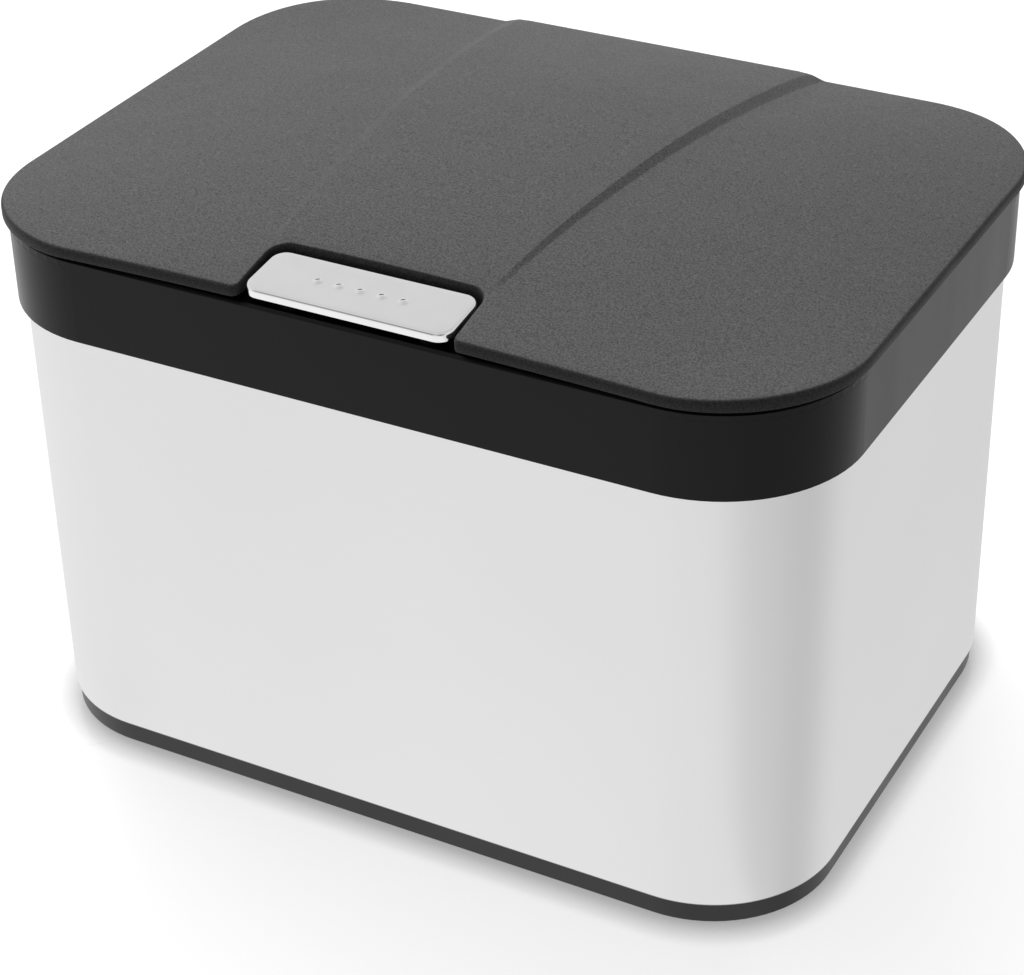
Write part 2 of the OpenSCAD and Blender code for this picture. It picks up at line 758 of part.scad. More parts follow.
module push_button() {
    color("whitesmoke") difference() {
        intersection() {
            translate([0, 0, z_cap]) linear_extrude(button_face + button_d)
                round_plan(button_w, button_y0, button_y1, button_r);
            under_slope(0);
        }
        difference() {
            intersection() {
                translate([0, 0, z_cap - eps]) linear_extrude(button_face + button_d)
                    round_plan(button_w - 2 * button_wall, button_y0 + button_wall,
                        button_y1 - button_wall, button_r - button_wall);
                under_slope(button_wall);
            }
            for (x = [-24, -12, 12, 24])
                post([x, button_y + 3.5], 1.5, z_plate_top, z_cap + 12);
        }
    }
}

module button_carrier() {
    color([0.15, 0.15, 0.15]) {
        translate([0, 0, z_plate]) linear_extrude(plate_t)
            round_plan(button_w - 2 * button_wall - 2 * fit, button_y0 + button_wall + fit,
                button_y1 - button_wall - fit, button_r - button_wall - fit / 2);
        for (x = [-well_x, well_x])
            post([x, well_y], post_r, well_floor + button_travel + 0.6, z_plate + eps);
        // Wedge, with the slanted face that draws the bolt forward
        translate([-wedge_w / 2, 0, 0]) rotate([90, 0, 90]) linear_extrude(wedge_w)
            polygon([
                [wedge_back, z_plate + eps], [wedge_back, wedge_mid - 2.6],
                [wedge_face(wedge_mid - 2.6), wedge_mid - 2.6],
                [wedge_face(bolt_top + button_travel), bolt_top + button_travel],
                [wedge_face(bolt_top + button_travel), z_plate + eps]
            ]);
    }
}

// Front face of the wedge at a height, on a 45 degree slope
function wedge_face(z) = wedge_back - wedge_t - (z - wedge_mid);

module button_spring() {
    height = z_plate - well_floor - spring_wire - 0.2;
    color("silver") translate([well_x, well_y, well_floor + spring_wire / 2 + 0.1])
        wire(coil(spring_r, height, spring_turns, spring_wire, spring_wire), spring_wire / 2);
}

module latch_bolt() {
    color([0.75, 0.72, 0.62]) difference() {
        union() {
            block(bolt_w, bolt_y0, bolt_y1, bolt_z, bolt_top);
            translate([-nose_w / 2, 0, 0]) rotate([90, 0, 90]) linear_extrude(nose_w)
                polygon([
                    [bolt_y1 - eps, bolt_z], [nose_y, bolt_z], [nose_y, bolt_z + 1.2],
                    [bolt_y1, bolt_top], [bolt_y1 - eps, bolt_top]
                ]);
        }
        // Window for the wedge
        translate([-wedge_w / 2 - 0.5, 0, 0]) rotate([90, 0, 90]) linear_extrude(wedge_w + 1)
            polygon([
                [wedge_face(bolt_z - 1) - window_gap, bolt_z - 1], [window_y1, bolt_z - 1],
                [window_y1, bolt_top + 1], [wedge_face(bolt_top + 1) - window_gap, bolt_top + 1]
            ]);
        both() translate([latch_spring_x, bolt_y0 - eps, bolt_z + bolt_h / 2]) rotate([-90, 0, 0])
            cylinder(h = pocket_y - bolt_y0, r = pocket_r);
    }
}

module latch_spring() {
    y0 = housing_y0 + housing_wall + 0.1 + latch_wire / 2;
    length = pocket_y - 0.1 - latch_wire / 2 - y0;
    color("silver") translate([latch_spring_x, y0, bolt_z + bolt_h / 2]) rotate([-90, 0, 0])
        wire(coil(latch_r, length, latch_turns, latch_wire, latch_wire), latch_wire / 2);
}

base_plinth();
foot(-foot_x, -foot_y);  // foot_front_left
foot(foot_x, -foot_y);  // foot_front_right
foot(-foot_x, foot_y);  // foot_rear_left
foot(foot_x, foot_y);  // foot_rear_right
steel_sleeve();
collar();
inner_bucket();
latch_housing();
latch_screws();
mirror([1, 0, 0]) hinge_pin();  // hinge_pin_left
hinge_pin();  // hinge_pin_right
mirror([1, 0, 0]) torsion_spring();  // torsion_spring_left
torsion_spring();  // torsion_spring_right
lid_cover();
lid_liner();
lid_seal();
lid_screws();
lid_strike();
strike_screws();
push_button();
button_carrier();
mirror([1, 0, 0]) button_spring();  // button_spring_left
button_spring();  // button_spring_right
latch_bolt();
mirror([1, 0, 0]) latch_spring();  // latch_spring_left
latch_spring();  // latch_spring_right
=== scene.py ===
"""Looks of the push top countertop bin: finishes, smooth shells, floor, light and camera."""
import json
import math

import bmesh
import bpy
from mathutils import Matrix, Vector
from mathutils.geometry import delaunay_2d_cdt


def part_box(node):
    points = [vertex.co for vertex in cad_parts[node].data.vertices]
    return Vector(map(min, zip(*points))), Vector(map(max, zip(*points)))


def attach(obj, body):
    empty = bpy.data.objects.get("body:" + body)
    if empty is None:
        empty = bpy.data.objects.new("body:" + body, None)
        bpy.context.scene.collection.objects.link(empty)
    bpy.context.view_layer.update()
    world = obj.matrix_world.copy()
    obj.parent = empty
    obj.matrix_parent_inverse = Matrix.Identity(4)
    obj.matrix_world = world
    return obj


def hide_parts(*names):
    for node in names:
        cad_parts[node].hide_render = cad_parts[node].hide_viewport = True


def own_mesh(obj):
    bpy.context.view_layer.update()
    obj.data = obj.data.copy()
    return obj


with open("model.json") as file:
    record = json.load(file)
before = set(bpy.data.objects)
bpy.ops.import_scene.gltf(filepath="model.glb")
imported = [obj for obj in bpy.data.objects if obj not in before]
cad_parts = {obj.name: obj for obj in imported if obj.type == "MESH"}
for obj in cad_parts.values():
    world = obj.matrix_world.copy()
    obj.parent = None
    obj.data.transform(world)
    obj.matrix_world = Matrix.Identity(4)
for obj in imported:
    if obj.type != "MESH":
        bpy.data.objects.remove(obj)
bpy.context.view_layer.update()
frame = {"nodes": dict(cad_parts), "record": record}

MM = 0.001

# Boxes and levels, read from the frame
LID_LOW, LID_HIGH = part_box("lid_cover")
LID_W = LID_HIGH[0] - LID_LOW[0]
LID_D = LID_HIGH[1] - LID_LOW[1]
LID_Z = LID_LOW[2]
SLEEVE_LOW, SLEEVE_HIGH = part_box("steel_sleeve")
CAP_LOW, CAP_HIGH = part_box("push_button")

# Lid: corner radius, upright edge and its rounding, wall
LID_R = 40.5 * MM
LID_EDGE = 2.9 * MM
LID_ROUND = 1.2 * MM
NOTCH_ROUND = 0.5 * MM
LOW_ROUND = 0.35 * MM
LID_WALL = 2.2 * MM
Z_EDGE = LID_Z + LID_EDGE

# Crown: its height and how fast it falls to the front and the back
CROWN = 10.88 * MM
CROWN_FRONT = 2.5
CROWN_BACK = 2

# Arch of the front edge over the button: height, how fast it fades, half its width
ARCH = 1.4 * MM
ARCH_FADE = 4
ARCH_HALF = LID_W / 2 - LID_R + 6 * MM

# Raised band: half its width, its step, and the width of its sloping sides
BAND_FRONT = 31.2 * MM
BAND_BACK = 47.4 * MM
BAND_STEP = 1.6 * MM
BAND_SWELL = 0.45
BAND_TOE = 1.4 * MM
BAND_RUN = 4.4 * MM

# Mesh of the lid's top: the grid's pitch, points along a side, and where its lines run, as
# shares of the way up the slope
TOP_PITCH = 3.2 * MM
SIDE_POINTS = 42
SIDE_LINES = (-0.12, -0.05, 0.02, 0.12, 0.5, 0.88, 0.98, 1.05, 1.12)

# Notch and button
NOTCH_GAP = 1.7 * MM
NOTCH_W = CAP_HIGH[0] - CAP_LOW[0] + 2 * NOTCH_GAP
NOTCH_Y = CAP_HIGH[1] + NOTCH_GAP
NOTCH_R = 5.3 * MM
MOUTH_R = 2 * MM
CAP_R = 4.5 * MM
CAP_GROW = 0.4 * MM
CAP_ROUND = 0.9 * MM
CAP_LOW_ROUND = 0.3 * MM
CAP_FACE = 2.5 * MM
CAP_TILT = math.radians(6.6)
CAP_WALL = 1.6 * MM
CAP_GRID = 1.7 * MM

# Domes on the button: radius, height, pitch along the row
DOME_R = 1.7 * MM
DOME_H = 0.36 * MM
DOME_PITCH = 6.2 * MM

# Steel sheet: its step in from the lid's outline, thickness, hem bend and flange
SLEEVE_IN = 3.8 * MM
SHEET = 0.6 * MM
HEM_BEND = 1.0 * MM
HEM_FLANGE = 3.2 * MM

# Floor: a side so long that its glow has no edge in the lid's sheen, its own share of white,
# and the contact shades as (reach, depth)
FLOOR_SIZE = 400
FLOOR_GLOW = 0.8
NEAR_SHADES = ((0.1, 0.08), (0.01, 0.5))

# Floor as gloss sees it: its level, and darker fans from a point as (way, start, stop, depth)
GLOSS_GLOW = 1.0
FAN_FROM = (0.1093, -0.0713, 0.0)
FANS = (
    (math.radians(-10), 0.45, 1.0, 0.175),
    (math.radians(60), 0.0, 0.9, 0.16),
    (math.radians(-60), -0.3, 1.0, 0.06),
)

# World: base level and soft patches as (direction, sharpness, amount), for light and for gloss
LIGHT_BASE = 0.07
LIGHT_PATCHES = [((-0.6, 0.52, 0.62), 5, 5.7)]
ROOM_BASE = 1.0
ROOM_PATCHES = [
    ((0.41, -0.74, 0.53), 14, -0.85),
    ((-0.41, -0.75, 0.52), 20, -0.7),
    ((0.0, 0.3, 1.0), 4, -0.28),
]

# Camera: turn, place and lens, fitted to the outlines in the photograph
AZIMUTH = math.radians(28.94)
ELEVATION = math.radians(32.23)
ROLL = math.radians(-1.425)
DISTANCE = 788.8 * MM
TARGET = Vector((0, 0, 85 * MM))
SHIFT_RIGHT = -2.86 * MM
SHIFT_UP = -19.42 * MM
FOCAL_PIXELS = 2742.8
PHOTO_WIDTH = 1024
SENSOR = 36

# Points nearer than this are one point
WELD = 1e-7


def mesh_object(name, verts, faces):
    """A smooth-shaded mesh, linked to the scene."""
    mesh = bpy.data.meshes.new(name)
    mesh.from_pydata([tuple(v) for v in verts], [], faces)
    mesh.validate()
    mesh.update()
    obj = bpy.data.objects.new(name, mesh)
    bpy.context.scene.collection.objects.link(obj)
    for face in mesh.polygons:
        face.use_smooth = True
    return obj


def arc(cx, cy, r, start, end, count):
    """Points on an arc, in degrees, both ends included."""
    steps = [start + (end - start) * i / count for i in range(count + 1)]
    return [
        (cx + r * math.cos(math.radians(a)), cy + r * math.sin(math.radians(a)))
        for a in steps
    ]


def line(p, q, pitch):
    """Points from p towards q, without q, about a pitch apart."""
    count = max(1, round(math.dist(p, q) / pitch))
    return [
        (p[0] + (q[0] - p[0]) * i / count, p[1] + (q[1] - p[1]) * i / count)
        for i in range(count)
    ]


def joined(stretches, pitch):
    """A closed outline from arcs, with straight lines of close points between them."""
    points = []
    for k, stretch in enumerate(stretches):
        following = stretches[(k + 1) % len(stretches)]
        points += stretch[:-1] + line(stretch[-1], following[0], pitch)
    return points


def round_outline(w, y0, y1, r, count, pitch):
    """A rounded rectangle across the bin, anticlockwise, count points to a corner."""
    x = w / 2 - r
    return joined([
        arc(x, y0 + r, r, -90, 0, count),
        arc(x, y1 - r, r, 0, 90, count),
        arc(-x, y1 - r, r, 90, 180, count),
        arc(-x, y0 + r, r, 180, 270, count),
    ], pitch)


def plan(inset):
    """The lid's outline, drawn in by a distance: the same count of points at any distance."""
    return offset(round_outline(LID_W, LID_LOW[1], LID_HIGH[1], LID_R, 28, 6 * MM), inset)


def outward(points):
    """Unit normals of a closed anticlockwise outline."""
    n = len(points)
    normals = []
    for k in range(n):
        before, after = points[k - 1], points[(k + 1) % n]
        here = points[k]
        a = Vector((here[0] - before[0], here[1] - before[1])).normalized()
        b = Vector((after[0] - here[0], after[1] - here[1])).normalized()
        t = (a + b).normalized()
        normals.append(Vector((t.y, -t.x)))
    return normals


def offset(points, inset):
    """A closed outline drawn in by one distance, or by one for each point."""
    insets = inset if isinstance(inset, list) else [inset] * len(points)
    return [
        (p[0] - d * n.x, p[1] - d * n.y)
        for p, n, d in zip(points, outward(points), insets)
    ]


def skin(rings):
    """Quads between closed rings of equal counts."""
    faces = []
    n = len(rings[0])
    for j in range(len(rings) - 1):
        for k in range(n):
            a, b = j * n + k, j * n + (k + 1) % n
            faces.append((a, b, b + n, a + n))
    return faces


def ring_body(name, profile):
    """A closed section of (inset, height) points, swept round the lid's outline."""
    rings = [[(x, y, z) for x, y in plan(inset)] for inset, z in profile]
    rings.append(rings[0])
    verts = [p for ring in rings[:-1] for p in ring]
    faces = [tuple(i % len(verts) for i in face) for face in skin(rings)]
    return mesh_object(name, verts, faces)


# Shape of the lid's top, the same rule as in the frame's source


def along_band(y):
    """The way along the band: 0 at the notch, 1 at the back edge."""
    return min(1.0, max(0.0, (y - NOTCH_Y) / (LID_HIGH[1] - NOTCH_Y)))


def band_top(y):
    """Half the width of the band's level top."""
    return BAND_FRONT + (BAND_BACK - BAND_FRONT) * along_band(y)


def band_foot(y):
    """Half the width at the foot of the band's sloping sides."""
    return band_top(y) + BAND_TOE + (BAND_RUN - BAND_TOE) * along_band(y)


def ease(u, soft=0.1):
    """A ramp from 0 to 1 with both of its corners rounded."""
    if u <= -soft:
        return 0.0
    if u < soft:
        return (u + soft) ** 2 / (4 * soft)
    if u <= 1 - soft:
        return u
    if u < 1 + soft:
        return 1 - (1 + soft - u) ** 2 / (4 * soft)
    return 1.0


def arch(x, y):
    """How far the lid's edge rises over the button."""
    across = max(0.0, 1 - (x / ARCH_HALF) ** 2)
    return ARCH * across * max(0.0, -2 * y / LID_D) ** ARCH_FADE


def crown_height(x, y):
    """Height of the lid's top."""
    fall = CROWN_FRONT if y < 0 else CROWN_BACK
    crown = CROWN * (1 - (2 * x / LID_W) ** 2) * (1 - abs(2 * y / LID_D) ** fall)
    foot, top = band_foot(y), band_top(y)
    step = BAND_STEP * along_band(y) ** BAND_SWELL
    lift = step * ease((foot - abs(x)) / (foot - top))
    return Z_EDGE + max(0.0, crown) + arch(x, y) + lift


def lid_outline():
    """The lid's outline with its notch, anticlockwise, and each point's edge rounding."""
    w, y0, y1 = LID_W / 2, LID_LOW[1], LID_HIGH[1]
    half = NOTCH_W / 2
    tiny = 1e-6
    stretches = [
        arc(w - LID_R, y0 + LID_R, LID_R, -90, 0, 28),
        arc(w - LID_R, y1 - LID_R, LID_R, 0, 90, 28),
        arc(-w + LID_R, y1 - LID_R, LID_R, 90, 180, 28),
        arc(-w + LID_R, y0 + LID_R, LID_R, 180, 270, 28),
        arc(-half - MOUTH_R, y0 + MOUTH_R, MOUTH_R, -90, 0, 8),
        arc(-half + NOTCH_R, NOTCH_Y - NOTCH_R, NOTCH_R, 180, 90, 9),
        arc(half - NOTCH_R, NOTCH_Y - NOTCH_R, NOTCH_R, 90, 0, 9),
        arc(half + MOUTH_R, y0 + MOUTH_R, MOUTH_R, 180, 270, 8),
    ]
    points = joined(stretches, 4 * MM)
    rounds = []
    for x, y in points:
        inside = abs(x) < half + MOUTH_R and y0 + tiny < y < NOTCH_Y + tiny
        share = min(1.0, (y - y0) / MOUTH_R) if inside else 0.0
        rounds.append(LID_ROUND + (NOTCH_ROUND - LID_ROUND) * share)
    return points, rounds


def band_lines(margin):
    """Chains of points along the band's sloping sides, where the lid's surface bends."""
    chains = []
    last = LID_HIGH[1] - margin
    for side in (-1, 1):
        for u in SIDE_LINES:
            chain = []
            for i in range(SIDE_POINTS + 1):
                y = NOTCH_Y + 4 * MM + (last - NOTCH_Y - 4 * MM) * i / SIDE_POINTS
                foot, top = band_foot(y), band_top(y)
                chain.append((side * (foot + (top - foot) * u), y))
            chains.append(chain)
    return chains


def lid_cover():
    """The lid's shell: rounded edge, crowned top with its band, and underside."""
    outline, rounds = lid_outline()

    # From the inner foot of the edge, round its lower corner and up the outside
    rings = []
    low = LOW_ROUND
    for inset, lift in ((LID_WALL, 0), (low, 0), (0.3 * low, 0.3 * low), (0, low)):
        rings.append([(x, y, LID_Z + arch(x, y) + lift) for x, y in offset(outline, inset)])
    for t in (0, 0.06, 0.17, 0.34, 0.56, 0.8, 1):
        moved = offset(outline, [r * t for r in rounds])
        rings.append([
            (p[0], p[1], crown_height(*p) - r + r * math.sqrt(max(0.0, 1 - (1 - t) ** 2)))
            for p, r in zip(moved, rounds)
        ])
    n = len(outline)
    verts = [p for ring in rings for p in ring]
    faces = skin(rings)
    rim = len(verts) - n

    # The top inside the rounded edge: a grid of points and the band's lines, as triangles
    points = [Vector(p[:2]) for p in rings[-1]]
    edges = [(k, (k + 1) % n) for k in range(n)]
    for chain in band_lines(LID_ROUND + 0.4 * MM):
        start = len(points)
        points += [Vector(p) for p in chain]
        edges += [(start + k, start + k + 1) for k in range(len(chain) - 1)]
    across = int(LID_W / TOP_PITCH)
    deep = int(LID_D / TOP_PITCH)
    for i in range(across + 1):
        for j in range(deep + 1):
            x = (i - across / 2) * TOP_PITCH
            y = (j - deep / 2) * TOP_PITCH
            if clear_of_lines(x, y, TOP_PITCH * 0.45):
                points.append(Vector((x, y)))
    flat, triangles, origins = filled(points, edges, n)
    lookup = {}
    for index, sources in enumerate(origins):
        for source in sources:
            if source < n:
                lookup[index] = rim + source
    top_index = []
    for index, p in enumerate(flat):
        if index in lookup:
            top_index.append(lookup[index])
        else:
            top_index.append(len(verts))
            verts.append((p.x, p.y, crown_height(p.x, p.y)))
    faces += [tuple(top_index[i] for i in face) for face in triangles]

    # Underside: the same triangles, a wall's thickness lower
    under_index = []
    under_rim = {}
    for index, p in enumerate(flat):
        under_index.append(len(verts))
        if index in lookup:
            under_rim[lookup[index] - rim] = len(verts)
        verts.append((p.x, p.y, crown_height(p.x, p.y) - LID_WALL))
    faces += [tuple(under_index[i] for i in reversed(face)) for face in triangles]
    for k in range(n):
        m = (k + 1) % n
        if k in under_rim and m in under_rim:
            faces.append((under_rim[k], under_rim[m], m, k))
    obj = mesh_object("lid_cover_shell", verts, faces)
    tidy_normals(obj)
    return obj


def filled(points, edges, n):
    """Triangles over the outline of the first n points: points, triangles, first indices."""
    out = delaunay_2d_cdt(points, edges, [list(range(n))], 1, WELD)
    return out[0], out[2], out[3]


def clear_of_lines(x, y, gap):
    """True where a grid point lies well inside the lid's top and off the band's sides."""
    w, d = LID_W / 2, LID_D / 2
    inset = LID_ROUND + gap
    past_x, past_y = abs(x) - (w - LID_R), abs(y) - (d - LID_R)
    if past_x > 0 and past_y > 0:
        if LID_R - math.hypot(past_x, past_y) < inset:
            return False
    elif abs(x) > w - inset or abs(y) > d - inset:
        return False
    if abs(x) < NOTCH_W / 2 + inset and y < NOTCH_Y + inset:
        return False
    if y > NOTCH_Y:
        foot, top = band_foot(y), band_top(y)
        beside = 0.3 * (foot - top)
        return not (top - beside - gap < abs(x) < foot + beside + gap)
    return True


def tidy_normals(obj):
    """Welds double points and turns every face outward."""
    mesh = bmesh.new()
    mesh.from_mesh(obj.data)
    bmesh.ops.remove_doubles(mesh, verts=mesh.verts, dist=WELD)
    bmesh.ops.recalc_face_normals(mesh, faces=mesh.faces)
    mesh.to_mesh(obj.data)
    mesh.free()


def push_button():
    """Chrome cap: rounded edges, a sloping top and a row of low domes to find it by touch."""
    y0, z0 = CAP_LOW[1], CAP_LOW[2]
    w = CAP_HIGH[0] - CAP_LOW[0]
    middle = (CAP_LOW[1] + CAP_HIGH[1]) / 2
    outline = round_outline(w + 2 * CAP_GROW, y0, CAP_HIGH[1] + CAP_GROW, CAP_R, 12, 1.6 * MM)

    def top(y):
        return z0 + CAP_FACE + (y - y0) * math.tan(CAP_TILT)

    # From the inner foot of the wall, round its lower corner and up the outside
    low = CAP_LOW_ROUND
    rings = [
        [(x, y, z0 + lift) for x, y in offset(outline, inset)]
        for inset, lift in ((CAP_WALL, 0), (low, 0), (0.3 * low, 0.3 * low), (0, low))
    ]
    steps = 8
    for i in range(steps + 1):
        a = math.radians(90 * i / steps)
        inset = CAP_ROUND * (1 - math.cos(a))
        rings.append([
            (x, y, top(y) - CAP_ROUND * (1 - math.sin(a)))
            for x, y in offset(outline, inset)
        ])
    n = len(outline)
    verts = [p for ring in rings for p in ring]
    faces = skin(rings)
    rim = len(verts) - n

    domes = [(i * DOME_PITCH, middle) for i in range(-2, 3)]

    def face_height(x, y):
        z = top(y)
        for cx, cy in domes:
            d = math.hypot(x - cx, y - cy) / DOME_R
            if d < 1:
                z += DOME_H * (0.5 + 0.5 * math.cos(math.pi * d))
        return z

    # The top inside the rounded edge: rings of points round each dome, and a grid between them
    points = [Vector(p[:2]) for p in rings[-1]]
    edges = [(k, (k + 1) % n) for k in range(n)]
    for cx, cy in domes:
        points.append(Vector((cx, cy)))
        for share in (0.12, 0.25, 0.38, 0.5, 0.62, 0.75, 0.88, 1.0, 1.15):
            ring = arc(0, 0, DOME_R * share, 0, 345, 23)
            points += [Vector((cx + px, cy + py)) for px, py in ring]
    for i in range(-16, 17):
        for j in range(-4, 5):
            x, y = i * CAP_GRID, middle + j * CAP_GRID
            if all(math.hypot(x - cx, y - cy) > DOME_R * 1.4 for cx, cy in domes):
                if abs(x) < w / 2 - CAP_R or abs(y - middle) < 4 * MM:
                    points.append(Vector((x, y)))
    flat, triangles, origins = filled(points, edges, n)
    index = []
    for k, p in enumerate(flat):
        source = [s for s in origins[k] if s < n]
        if source:
            index.append(rim + source[0])
        else:
            index.append(len(verts))
            verts.append((p.x, p.y, face_height(p.x, p.y)))
    faces += [tuple(index[i] for i in face) for face in triangles]

    # Inside of the cap
    inner = [(x, y, top(y) - CAP_WALL) for x, y in offset(outline, CAP_WALL)]
    start = len(verts)
    verts += inner
    faces += [(k, start + k, start + (k + 1) % n, (k + 1) % n) for k in range(n)]
    faces.append(tuple(start + k for k in range(n)))
    obj = mesh_object("push_button_cap", verts, faces)
    tidy_normals(obj)
    return obj


# Finishes


class Finish:
    """A node material in the making: object coordinates, noise and one principled shader."""

    def __init__(self, name):
        self.material = bpy.data.materials.new(name)
        self.material.use_nodes = True
        self.tree = self.material.node_tree
        self.shader = self.tree.nodes["Principled BSDF"]
        self.place = self.tree.nodes.new("ShaderNodeTexCoord").outputs["Object"]

    def node(self, kind, **values):
        """A new node with its properties set."""
        made = self.tree.nodes.new(kind)
        for key, value in values.items():
            setattr(made, key, value)
        return made

    def link(self, source, target):
        self.tree.links.new(source, target)

    def stretched(self, scale):
        """Object coordinates, scaled along each axis."""
        mapping = self.node("ShaderNodeMapping")
        mapping.inputs["Scale"].default_value = scale
        self.link(self.place, mapping.inputs["Vector"])
        return mapping.outputs["Vector"]

    def noise(self, scale, detail=2.0, rough=0.5, stretch=(1, 1, 1)):
        made = self.node("ShaderNodeTexNoise")
        made.inputs["Scale"].default_value = scale
        made.inputs["Detail"].default_value = detail
        made.inputs["Roughness"].default_value = rough
        self.link(self.stretched(stretch), made.inputs["Vector"])
        return made.outputs["Fac"]

    def between(self, fac, low, high, start=0.3, stop=0.7):
        """fac, mapped from the range start to stop onto low to high."""
        made = self.node("ShaderNodeMapRange")
        made.inputs["From Min"].default_value = start
        made.inputs["From Max"].default_value = stop
        made.inputs["To Min"].default_value = low
        made.inputs["To Max"].default_value = high
        self.link(fac, made.inputs["Value"])
        return made.outputs["Result"]

    def tint(self, fac, dark, light):
        """Base colour from dark to light as fac goes from 0.3 to 0.7."""
        ramp = self.node("ShaderNodeValToRGB")
        ramp.color_ramp.elements[0].position = 0.3
        ramp.color_ramp.elements[1].position = 0.7
        ramp.color_ramp.elements[0].color = (*dark, 1)
        ramp.color_ramp.elements[1].color = (*light, 1)
        self.link(fac, ramp.inputs["Fac"])
        self.link(ramp.outputs["Color"], self.shader.inputs["Base Color"])

    def rough(self, fac, low, high):
        self.link(self.between(fac, low, high), self.shader.inputs["Roughness"])

    def bump(self, layers):
        """Bumps laid over each other: (height, strength, depth in metres) each."""
        normal = None
        for height, strength, depth in layers:
            made = self.node("ShaderNodeBump")
            made.inputs["Strength"].default_value = strength
            made.inputs["Distance"].default_value = depth
            self.link(height, made.inputs["Height"])
            if normal:
                self.link(normal, made.inputs["Normal"])
            normal = made.outputs["Normal"]
        self.link(normal, self.shader.inputs["Normal"])

    def set(self, **values):
        for key, value in values.items():
            self.shader.inputs[key.replace("_", " ")].default_value = value


def grey(level):
    return (level, level, level)


def lid_grain():
    """Spark-eroded grey plastic, finely speckled on top; upright walls are painted darker, a
    painted shade by how far the surface turns from up, which also lowers the grain's contrast
    there.
    """
    f = Finish("lid_grey")
    grain = f.noise(1900, 3, 0.65)
    cloud = f.noise(45, 2, 0.5)
    level = f.node("ShaderNodeSeparateXYZ")
    f.link(f.node("ShaderNodeNewGeometry").outputs["Normal"], level.inputs[0])
    speckle_and_painted_shade = f.node("ShaderNodeMath", operation="MULTIPLY")
    f.link(f.between(grain, 0.28, 1.0), speckle_and_painted_shade.inputs[0])
    # Painted shade: the colour darkens where the surface turns from up, so upright walls read
    # darker than the top.
    f.link(f.between(level.outputs["Z"], 0.42, 1.0, 0.78, 0.955), speckle_and_painted_shade.inputs[1])
    f.tint(f.between(speckle_and_painted_shade.outputs[0], 0.3, 0.7, 0.0, 1.0), grey(0.0), grey(0.16))
    f.rough(cloud, 0.52, 0.6)
    f.bump([(cloud, 0.05, 0.4 * MM), (grain, 0.5, 0.15 * MM)])
    f.set(Specular_IOR_Level=0.22)
    return f.material


def satin_black():
    """Moulded black plastic with a satin skin and faint flow marks."""
    f = Finish("collar_black")
    fine = f.noise(1500, 2, 0.6)
    flow = f.noise(60, 3, 0.5, (1, 1, 0.25))
    f.tint(flow, grey(0.006), grey(0.0085))
    f.rough(flow, 0.27, 0.33)
    f.bump([(flow, 0.04, 0.3 * MM), (fine, 0.06, 0.05 * MM)])
    f.set(Specular_IOR_Level=0.2)
    return f.material


def moulded(name, low, high, rough_low, rough_high):
    """Plain moulded plastic of the base and the inner pieces."""
    f = Finish(name)
    fine = f.noise(900, 3, 0.6)
    broad = f.noise(40, 2, 0.5)
    f.tint(broad, grey(low), grey(high))
    f.rough(broad, rough_low, rough_high)
    f.bump([(fine, 0.12, 0.08 * MM)])
    return f.material


def satin_steel():
    """Satin stainless sheet: very fine level brushing, and a painted shadow line, darker
    colour, along its lower edge where it meets the base.
    """
    f = Finish("sleeve_steel")
    brush = f.noise(260, 4, 0.65, (0.25, 0.25, 22))
    cloud = f.noise(9, 2, 0.5)
    height = f.node("ShaderNodeSeparateXYZ")
    f.link(f.place, height.inputs[0])
    low = SLEEVE_LOW[2]
    # Painted shadow line: the colour drops to a tenth up to 0.6 mm above the lower edge, fading
    # out by 1 mm.
    edge = f.between(height.outputs["Z"], 0.1, 1.0, low + 0.6 * MM, low + 1 * MM)
    # sheet: the steel's own faint tone times the painted shadow line.
    sheet = f.node("ShaderNodeMath", operation="MULTIPLY")
    f.link(f.between(cloud, 0.97, 1.0), sheet.inputs[0])
    f.link(edge, sheet.inputs[1])
    f.tint(f.between(sheet.outputs[0], 0.3, 0.7, 0.0, 1.0), grey(0.0), grey(0.82))
    f.rough(brush, 0.28, 0.34)
    f.bump([(brush, 0.035, 0.05 * MM)])
    f.set(Metallic=1.0)
    return f.material


def chrome():
    """Bright plating with the slight waves that plated plastic has."""
    f = Finish("button_chrome")
    wave = f.noise(160, 1, 0.5)
    dust = f.noise(2600, 2, 0.6)
    f.tint(wave, grey(0.86), grey(0.88))
    f.rough(dust, 0.05, 0.09)
    f.bump([(wave, 0.06, 0.05 * MM)])
    f.set(Metallic=1.0)
    return f.material


def zinc():
    """Zinc-plated wire, pins, screws and strike."""
    f = Finish("plain_steel")
    fine = f.noise(700, 3, 0.6)
    f.tint(fine, grey(0.5), grey(0.6))
    f.rough(fine, 0.26, 0.38)
    f.bump([(fine, 0.08, 0.05 * MM)])
    f.set(Metallic=1.0)
    return f.material


def rubber(name, low, high):
    """Dull rubber of the feet and the seal."""
    f = Finish(name)
    fine = f.noise(1100, 3, 0.6)
    f.tint(fine, grey(low), grey(high))
    f.rough(fine, 0.7, 0.82)
    f.bump([(fine, 0.2, 0.1 * MM)])
    return f.material


def acetal():
    """Cream, slightly waxy plastic of the latch bolt."""
    f = Finish("bolt_acetal")
    broad = f.noise(120, 2, 0.5)
    f.tint(broad, (0.66, 0.62, 0.53), (0.72, 0.69, 0.6))
    f.rough(broad, 0.3, 0.38)
    f.bump([(broad, 0.05, 0.05 * MM)])
    f.set(Subsurface_Weight=0.1)
    return f.material


